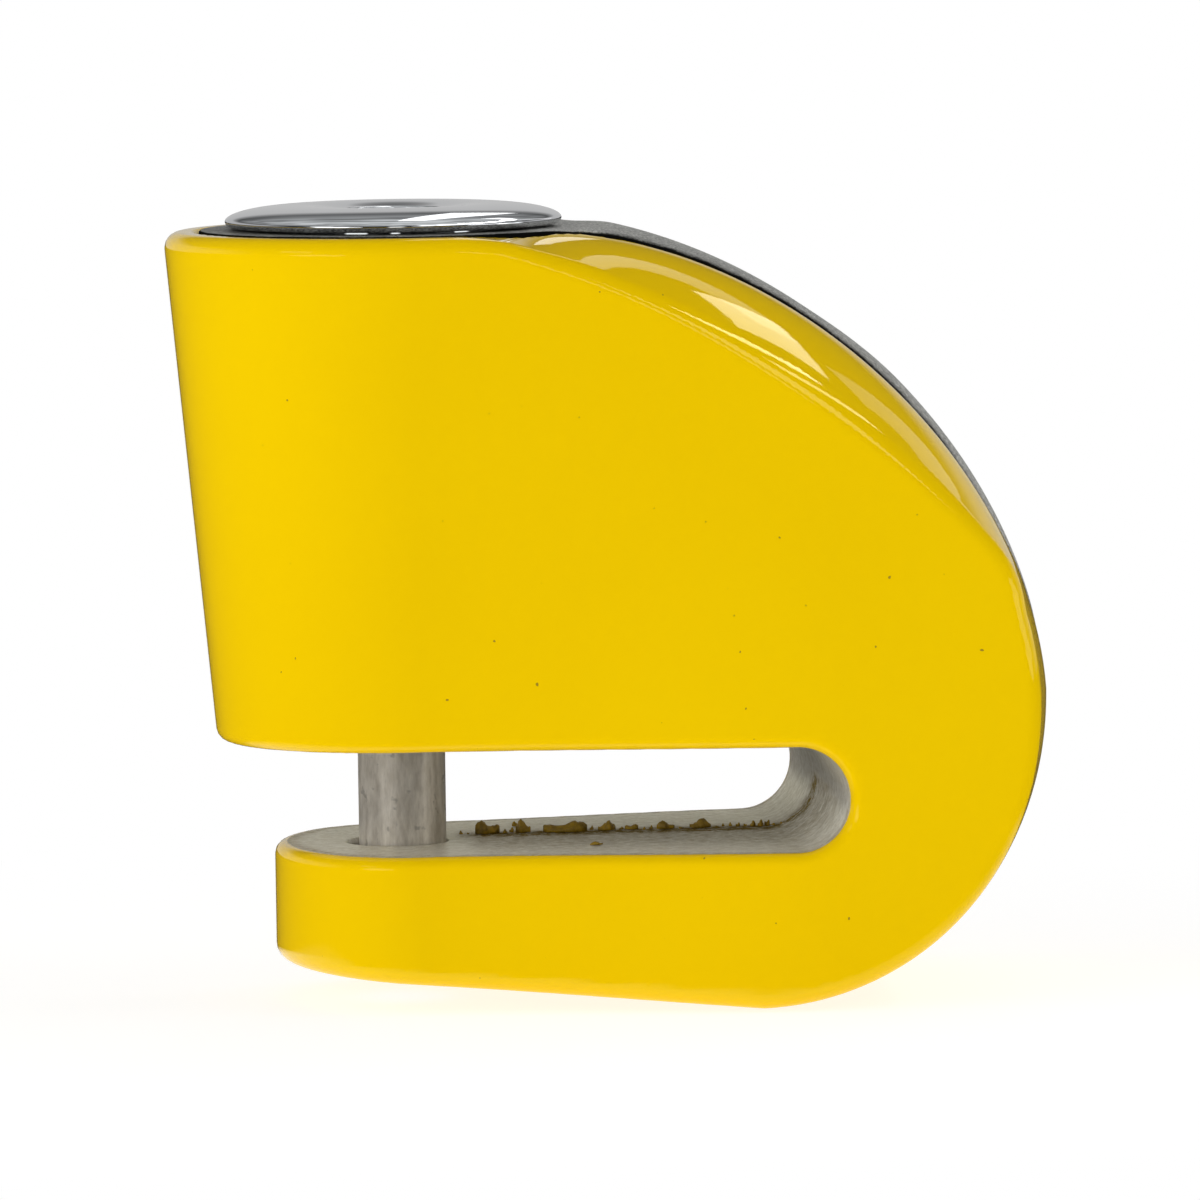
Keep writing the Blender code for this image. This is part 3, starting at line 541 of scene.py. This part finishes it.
def trim_material():
    """Plastic with a fine sparkling grain, painted grey on its top as a painted sheen and near-black on its
    sides as painted shade.
    """
    n = Nodes("grey_grain_painted_sheen")
    grain = n.noise(5200, 2, 0.6)
    broad = n.noise(500, 4, 0.7)
    # painted sheen and shade: the grey grain on the strip's top is a painted sheen, the near-black sides are
    # painted shade and reflect less
    painted_sheen_mask = n.ramp(n.math("ADD", n.attribute("rise"), n.math("MULTIPLY_ADD", broad, 0.3, -0.15)),
                   (0.20, BLACK), (0.50, WHITE))
    grey = n.ramp(grain, (0.38, (0.13, 0.13, 0.12)), (0.64, (0.62, 0.62, 0.58)))
    n.set("Base Color", n.mix(painted_sheen_mask, (0.006, 0.006, 0.006), grey))
    n.set("Roughness", n.math("MULTIPLY_ADD", grain, 0.25, 0.33))
    n.set("Specular IOR Level", n.math("MULTIPLY", painted_sheen_mask, 0.25))
    n.bump(grain, 0.5, 0.00008)
    return n.material


def band(low, high):
    """Ramp stops of a white band with soft ends."""
    return (low - 0.012, BLACK), (low + 0.012, WHITE), (high - 0.012, WHITE), (high + 0.012, BLACK)


def chrome_material():
    """Bright chrome with painted reflections: the pale top of the room and the clutter of the studio are
    painted on as soft emitting patches, placed by the reflection direction.
    """
    n = Nodes("chrome_painted_reflections")
    mirrored = n.add("ShaderNodeTexCoord").outputs["Reflection"]
    split = n.add("ShaderNodeSeparateXYZ")
    n.link(mirrored, split.inputs[0])
    clutter = n.add("ShaderNodeTexNoise")
    clutter.inputs["Scale"].default_value = 5.0
    clutter.inputs["Detail"].default_value = 2.0
    n.link(mirrored, clutter.inputs["Vector"])
    clouds = clutter.outputs["Fac"]
    # painted reflections of window bands and a pale overhead patch, laid out by the reflection direction
    across, back, height = (n.math("MULTIPLY_ADD", split.outputs[axis], 0.5, 0.5) for axis in "XYZ")
    across = n.math("ADD", across, n.math("MULTIPLY_ADD", clouds, 0.10, -0.05))
    low = n.ramp(across, *band(0.06, 0.205), *band(0.42, 0.515), (0.975, BLACK), (0.985, WHITE))
    low = n.math("MULTIPLY", low, n.ramp(height, *band(0.42, 0.60)))
    high = n.math("MULTIPLY", n.ramp(across, *band(0.60, 0.90)), n.ramp(height, *band(0.60, 0.86)))
    painted_window_reflections = n.math("MULTIPLY", n.math("ADD", low, high), n.ramp(back, (0.50, WHITE), (0.55, BLACK)))
    painted_ceiling_reflection = n.math("MULTIPLY", n.ramp(height, (0.66, BLACK), (0.95, WHITE)),
                     n.ramp(clouds, (0.35, (0.35, 0.35, 0.35)), (0.60, WHITE)))
    painted_reflection_glow = n.math("MULTIPLY_ADD", painted_window_reflections, 0.9, n.math("MULTIPLY", painted_ceiling_reflection, 0.6))
    n.set("Base Color", n.ramp(n.noise(160, 2), (0.3, (0.66, 0.67, 0.69)), (0.7, (0.74, 0.75, 0.77))))
    n.set("Metallic", 1.0)
    n.set("Roughness", n.math("MULTIPLY_ADD", n.noise(900, 3), 0.05, 0.02))
    # the painted reflections are emitted in a cool white
    n.set("Emission Color", (0.93, 0.97, 1.0))
    n.set("Emission Strength", painted_reflection_glow)
    n.bump(n.noise(250, 2), 0.04, 0.00005)
    return n.material


def steel_material(name, dark, light, rough, stretch=(1, 1, 1), metallic=1.0):
    n = Nodes(name)
    grain = n.noise(2400, 3, 0.65, stretch)
    spots = n.ramp(n.noise(1300, 2, 0.5), (0.63, BLACK), (0.70, WHITE))
    colour = n.ramp(grain, (0.3, dark), (0.7, light))
    n.set("Base Color", n.mix(n.math("MULTIPLY", spots, 0.5), colour, tuple(c * 0.45 for c in dark)))
    n.set("Metallic", metallic)
    n.set("Roughness", n.math("MULTIPLY_ADD", grain, 0.18, rough))
    n.bump(grain, 0.25, 0.00004)
    return n.material


def rubber_material():
    n = Nodes("seal_rubber")
    grain = n.noise(1500, 3)
    n.set("Base Color", n.ramp(grain, (0.3, (0.012, 0.012, 0.012)), (0.7, (0.03, 0.03, 0.03))))
    n.set("Roughness", n.math("MULTIPLY_ADD", grain, 0.2, 0.6))
    n.bump(grain, 0.3, 0.00004)
    return n.material


def flake_material():
    n = Nodes("paint_chip")
    grime = n.ramp(n.noise(1500, 4, 0.7), (0.40, BLACK), (0.62, WHITE))
    n.set("Base Color", n.mix(n.math("MULTIPLY", grime, 0.6), (0.42, 0.26, 0.012), (0.10, 0.065, 0.015)))
    n.set("Roughness", n.math("MULTIPLY_ADD", grime, 0.3, 0.35))
    n.bump(grime, 0.3, 0.00004)
    return n.material


PAINT = paint_material()
TRIM = trim_material()
CHROME = chrome_material()
PIN_STEEL = steel_material("pin_steel", (0.56, 0.51, 0.43), (0.84, 0.79, 0.70), 0.30, (1, 1, 0.25), 0.6)
STEEL = steel_material("ground_steel", (0.42, 0.41, 0.39), (0.60, 0.59, 0.57), 0.25)
ZINC = steel_material("turned_zinc", (0.28, 0.28, 0.28), (0.42, 0.42, 0.42), 0.35, (0.3, 0.3, 2.5))
BRASS = steel_material("turned_brass", (0.52, 0.36, 0.11), (0.72, 0.53, 0.20), 0.25, (0.4, 0.4, 2.0))
BRONZE = steel_material("sintered_bronze", (0.30, 0.18, 0.08), (0.46, 0.29, 0.14), 0.40)
RUBBER = rubber_material()

for node, made in frame["nodes"].items():
    slot_name = next(s["material_slot"] for s in frame["record"]["subparts"] if s["node"] == node)
    finish = {"steel": STEEL, "plunger_zinc": ZINC, "brass": BRASS, "rubber": RUBBER,
              "bush_bronze": BRONZE, "chrome": CHROME, "grey_trim": TRIM, "yellow_paint": PAINT}[slot_name]
    if node in ("key_barrel", "guard_disc"):
        finish = STEEL
    made.data.materials.clear()
    made.data.materials.append(finish)


# ---------------------------------------------------------------- the visible pieces


def make_body():
    cell = 0.42
    low = (LOW_BODY[0] - PIN_X, LOW_BODY[1], LOW_BODY[2])
    high = (HIGH_BODY[0] - PIN_X, HIGH_BODY[1], TOP)
    obj, points = solid_from("lock_body_skin", body, low, high, cell, PAINT, "body", "lock_body")
    x, y, z = points.T
    outside = -outer_body(x, y, z)
    in_slot = np.abs(slot_hole(x, z)) < 0.9
    depth = np.where(in_slot, outside - np.abs(slot_hole(x, z)) * 0.6, -5.0)
    bores = (np.hypot(x, y) < BORE_RADIUS + 0.1) & (z > 8) & (z < TOP - 2)
    depth = np.where(bores | (np.hypot(x - JAW_HOLE_X, y) < JAW_HOLE_RADIUS + 0.01), 5.0, depth)
    layer = obj.data.attributes.new("slot_depth", "FLOAT", "POINT")
    layer.data.foreach_set("value", depth.astype(np.float32))
    # grime and painted shade on the slot's lower face: a band along the chips that also paints their shadow
    # and reflection, a broad share darker towards the near side, and a band near the slot's edges
    line = np.exp(-((y - 2.0) / 1.5) ** 2) * step(x, 3.0, 7.0) * (1 - 0.4 * step(x, 24.0, 27.0))
    spread = np.exp(-((y + 3.0) / 6.0) ** 2) * step(x, 3.0, 6.0)
    floor_side = z < SLOT / 2
    dirt_and_shade = np.clip((line + 0.30 * spread) * floor_side + 0.30 * (outside < 1.6), 0, 1) * in_slot
    layer = obj.data.attributes.new("slot_dirt_and_shade", "FLOAT", "POINT")
    layer.data.foreach_set("value", dirt_and_shade.astype(np.float32))


def make_trim():
    low = (-TRIM_R, -TRIM_R, 11.5)
    high = (HUMP[0] + HUMP[2] + 1.5, TRIM_R, TOP + 1)
    obj, points = solid_from("top_trim_skin", trim, low, high, 0.34, TRIM, "body", "top_trim")
    x, z = points[:, 0], points[:, 2]
    # how high a point sits on the strip; the material uses it to paint a sheen on the top and shade on the
    # sides
    rise = np.maximum(hump(x, z, HUMP), z - TOP) / crown_height(x) * (0.35 + 0.65 * step(x, 7.0, 12.0))
    layer = obj.data.attributes.new("rise", "FLOAT", "POINT")
    layer.data.foreach_set("value", rise.astype(np.float32))


def make_cap():
    rim, base, top = CAP_RADIUS, CAP_BASE, CAP_TOP
    socket = base - SOCKET_DEPTH
    profile = [(KEYWAY_RADIUS, base), (SOCKET_RADIUS, base), (SOCKET_RADIUS, socket)]
    profile += [(SOCKET_WALL_RADIUS, socket), (SOCKET_WALL_RADIUS, base), (rim - 0.5, base)]
    profile += arc(rim - CAP_EDGE, base + CAP_EDGE, CAP_EDGE, -80, 0, 8)
    rise = top - base - CAP_EDGE
    for i in range(1, 25):
        angle = radians(90 * i / 24)
        profile.append((rim - CAP_ROUNDING * (1 - cos(angle)), base + CAP_EDGE + rise * sin(angle)))
    for i in range(1, 9):
        share = i / 8
        radius = rim - CAP_ROUNDING - (rim - CAP_ROUNDING - 3.6) * share
        profile.append((radius, top - DISH_DEPTH * (1 - cos(share * pi / 2))))
    profile += [(KEYWAY_RADIUS + 0.12, top - 0.32), (KEYWAY_RADIUS, top - 0.42)]
    lathe_object("button_cap_skin", profile, 160, CHROME, "button", "button_cap", sharp=50)


def make_pin():
    tip, top = LOW_PIN[2], HIGH_PIN[2]
    r = PIN_RADIUS
    profile = [(0, tip), (r - PIN_ROUNDING, tip)]
    profile += arc(r - PIN_ROUNDING, tip + PIN_ROUNDING, PIN_ROUNDING, -90, 0, 8)
    profile += [(r, z) for z in np.linspace(tip + 1.5, top - 0.5, 12)]
    profile += [(r - 0.4, top), (0, top)]
    lathe_object("locking_pin_skin", profile, 96, PIN_STEEL, "button", "locking_pin")


def crumb(cx, cy, long, wide, tall, turn, rng):
    """One closed lump: a rough domed top over a flat bottom that lies just clear of the metal."""
    rows, cols = 7, 13
    points, faces = [], []
    phase = rng.uniform(0, 6)
    for level in (1, 0):
        for i in range(rows):
            for j in range(cols):
                u, v = 2 * j / (cols - 1) - 1, 2 * i / (rows - 1) - 1
                px = u * long * (1 - 0.25 * v * v) * (1 + 0.08 * sin(5 * v + phase))
                py = v * wide * (1 - 0.45 * u * u) * (1 + 0.15 * sin(4 * u + phase))
                dome = (1 - 0.55 * v * v) * (0.75 + 0.25 * sin(3.1 * u + phase)) * (1 - 0.35 * u * u)
                lift = tall * dome * (0.85 + 0.3 * rng.random()) if level else 0.0
                points.append((cx + px * cos(turn) - py * sin(turn), cy + px * sin(turn) + py * cos(turn),
                               CRUMB_GAP + lift))
    count = rows * cols
    for i in range(rows - 1):
        for j in range(cols - 1):
            a, b, c, d = i * cols + j, i * cols + j + 1, (i + 1) * cols + j + 1, (i + 1) * cols + j
            faces += [(a, b, c, d), (d + count, c + count, b + count, a + count)]
    ring = list(range(cols)) + [i * cols + cols - 1 for i in range(1, rows)]
    ring += [(rows - 1) * cols + j for j in range(cols - 2, -1, -1)]
    ring += [i * cols for i in range(rows - 2, 0, -1)]
    faces += [(q, p, p + count, q + count) for p, q in zip(ring, ring[1:] + ring[:1])]
    return points, faces


def make_flakes():
    """Chips of yellow paint and a line of crumbs that lie along the slot's lower face."""
    rng = np.random.default_rng(7)
    material = flake_material()
    # each chip: x, y, half length, half width, height, turn
    chips = [(6.0, 2.5, 0.85, 0.5, 0.95, 0.25), (8.5, 2.7, 0.5, 0.45, 0.85, -0.3),
             (11.3, 2.2, 1.45, 0.5, 0.8, -0.12), (14.2, 2.6, 0.6, 0.4, 0.6, 0.2),
             (15.9, 2.7, 0.45, 0.3, 0.4, -0.2), (18.2, 2.5, 0.6, 0.35, 0.55, 0.1),
             (20.6, 2.6, 0.7, 0.35, 0.6, 0.05), (12.4, -6.4, 0.45, 0.3, 0.2, 0.3),
             (8.4, 6.5, 0.25, 0.2, 0.35, 0.0)]
    for number, place in enumerate(chips, 1):
        points, faces = crumb(*place, rng)
        flake = mesh_object(f"paint_chip_{number}", points, faces, material, "body", None)
    points, faces = [], []
    for x in np.arange(4.2, 26.5, 0.5):
        if any(abs(x - chip[0]) < chip[2] + 0.22 for chip in chips[:7]):
            continue
        size = rng.uniform(0.09, 0.2)
        y = 2.5 + rng.uniform(-0.5, 0.5)
        more, sides = crumb(x, y, size, size, size * rng.uniform(1.0, 2.6), 0.0, rng)
        faces += [tuple(k + len(points) for k in side) for side in sides]
        points += more
    crumbs = mesh_object("paint_crumbs", points, faces, material, "body", None)


make_body()
make_trim()
make_cap()
make_pin()
make_flakes()


# ---------------------------------------------------------------- floor, light and camera


def floor():
    """A pale floor: white to the eye, and dark in reflections once it is away from the lock."""
    n = Nodes("pale_floor")
    n.set("Base Color", n.ramp(n.noise(3, 2), (0.3, (0.93, 0.93, 0.93)), (0.7, (0.95, 0.95, 0.95))))
    n.set("Roughness", 0.9)
    n.set("Specular IOR Level", 0.1)
    n.set("Emission Color", (1.0, 1.0, 1.0))
    n.set("Emission Strength", 0.45)
    squeeze = n.add("ShaderNodeVectorMath", operation="MULTIPLY")
    squeeze.inputs[1].default_value = (0.5, 1.0, 0.0)
    n.link(n.place, squeeze.inputs[0])
    away = n.add("ShaderNodeVectorMath", operation="LENGTH")
    n.link(squeeze.outputs[0], away.inputs[0])
    distance = n.math("MULTIPLY", away.outputs["Value"], 10.0)
    path = n.add("ShaderNodeLightPath")
    shader = n.shader.outputs[0]
    looks = ((path.outputs["Is Glossy Ray"], (0.19, BLACK), (0.30, WHITE), 0.03),
             (path.outputs["Is Camera Ray"], (0.20, (0.6, 0.6, 0.6)), (0.90, WHITE), 1.0))
    for ray, near, far, level in looks:
        plain = n.add("ShaderNodeEmission")
        plain.inputs["Color"].default_value = (level, level, level, 1)
        choice = n.add("ShaderNodeMixShader")
        n.link(n.math("MULTIPLY", n.ramp(distance, near, far), ray), choice.inputs[0])
        n.link(shader, choice.inputs[1])
        n.link(plain.outputs[0], choice.inputs[2])
        shader = choice.outputs[0]
    n.link(shader, n.tree.nodes["Material Output"].inputs["Surface"])
    level = LOW_BODY[2] * MM - 0.0003
    mesh = bpy.data.meshes.new("floor")
    side = 6.0
    mesh.from_pydata([(-side, -side, level), (side, -side, level), (side, side, level), (-side, side, level)],
                     [], [(0, 1, 2, 3)])
    mesh.materials.append(n.material)
    obj = bpy.data.objects.new("floor", mesh)
    bpy.context.scene.collection.objects.link(obj)


def area(name, azimuth, elevation, across, high, radiance, mirrored=True, turn=0.0, oval=False,
         away=0.85):
    """A softbox at a direction from the lock, with its size in degrees as seen from there."""
    direction = Vector((cos(radians(elevation)) * cos(radians(azimuth)),
                        cos(radians(elevation)) * sin(radians(azimuth)), sin(radians(elevation))))
    data = bpy.data.lights.new(name, "AREA")
    data.shape = "ELLIPSE" if oval else "RECTANGLE"
    data.size, data.size_y = 2 * away * tan(radians(across / 2)), 2 * away * tan(radians(high / 2))
    data.energy = radiance * pi * data.size * data.size_y
    obj = bpy.data.objects.new(name, data)
    obj.location = MIDDLE + direction * away
    obj.rotation_mode = "QUATERNION"
    facing = (-direction).to_track_quat("-Z", "Y")
    obj.rotation_quaternion = facing @ Matrix.Rotation(radians(turn), 3, "Z").to_quaternion()
    obj.visible_glossy = mirrored
    bpy.context.scene.collection.objects.link(obj)


def world():
    """A grey room with a white backdrop behind the lock."""
    made = bpy.data.worlds.new("studio")
    bpy.context.scene.world = made
    made.use_nodes = True
    tree = made.node_tree
    background = tree.nodes["Background"]
    coords = tree.nodes.new("ShaderNodeTexCoord")
    split = tree.nodes.new("ShaderNodeSeparateXYZ")
    tree.links.new(coords.outputs["Generated"], split.inputs[0])

    def ramp(axis, *stops):
        node = tree.nodes.new("ShaderNodeValToRGB")
        scaled = tree.nodes.new("ShaderNodeMath")
        scaled.operation = "MULTIPLY_ADD"
        scaled.inputs[1].default_value = 0.5
        scaled.inputs[2].default_value = 0.5
        tree.links.new(split.outputs[axis], scaled.inputs[0])
        tree.links.new(scaled.outputs[0], node.inputs["Fac"])
        while len(node.color_ramp.elements) < len(stops):
            node.color_ramp.elements.new(0.5)
        for element, (place, level) in zip(node.color_ramp.elements, stops):
            element.position = place
            element.color = (level, level, level, 1)
        return node.outputs["Color"]

    behind = ramp("Y", (0.42, 0.0), (0.62, 1.0))
    height = ramp("Z", (0.63, 0.5), (0.69, 0.02))
    both_ways = tree.nodes.new("ShaderNodeMath")
    both_ways.operation = "MULTIPLY_ADD"
    tree.links.new(behind, both_ways.inputs[0])
    tree.links.new(height, both_ways.inputs[1])
    both_ways.inputs[2].default_value = 0.04
    tree.links.new(both_ways.outputs[0], background.inputs["Color"])


MIDDLE = Vector((0.0, 0.0, 0.016))
floor()
world()
area("fill_left", -160, 20, 60, 50, 1.4, mirrored=False)
area("fill_front", -115, 25, 60, 40, 0.69, mirrored=False, away=0.45)
area("fill_right", -30, 25, 45, 45, 0.28, mirrored=False)
area("fill_top", 60, 75, 50, 50, 0.75, mirrored=False)
area("box_near", -17, 49, 34, 2.4, 11.0)
area("box_near_edge", -17, 43.5, 32, 1.8, 7.0)
area("box_far", 27, 47.5, 13, 8, 5.0)
area("box_tail", 47, 47, 26, 5, 1.4)
area("box_edge", 37, 27, 4, 34, 1.0, turn=35)
area("box_side", 80, 42, 5, 36, 1.5)
area("box_low_right", -55, 29, 17, 10, 2.5)
area("box_low_left", -148, 23, 16, 9, 0.9)
area("window_left", -134, 4, 34, 16, 1.3, oval=True)
area("window_middle", -76, 17, 16, 9, 1.3, oval=True)
area("window_right", -28, 4, 34, 16, 1.3, oval=True)

camera_data = bpy.data.cameras.new("camera")
camera = bpy.data.objects.new("camera", camera_data)
bpy.context.scene.collection.objects.link(camera)
camera_data.sensor_width = 36.0
camera_data.lens = 310.8
camera_data.clip_start, camera_data.clip_end = 0.01, 20.0
yaw, pitch, roll, distance = radians(6.83), radians(4.85), radians(0.80), 0.700
target = Vector((13.64 + PIN_X, 0.0, 15.94)) * MM
look = Vector((sin(yaw) * cos(pitch), cos(yaw) * cos(pitch), -sin(pitch)))
camera.location = target - look * distance
camera.rotation_mode = "QUATERNION"
camera.rotation_quaternion = look.to_track_quat("-Z", "Y") @ Matrix.Rotation(-roll, 3, "Z").to_quaternion()
bpy.context.scene.camera = camera
bpy.context.scene.view_settings.view_transform = "Standard"
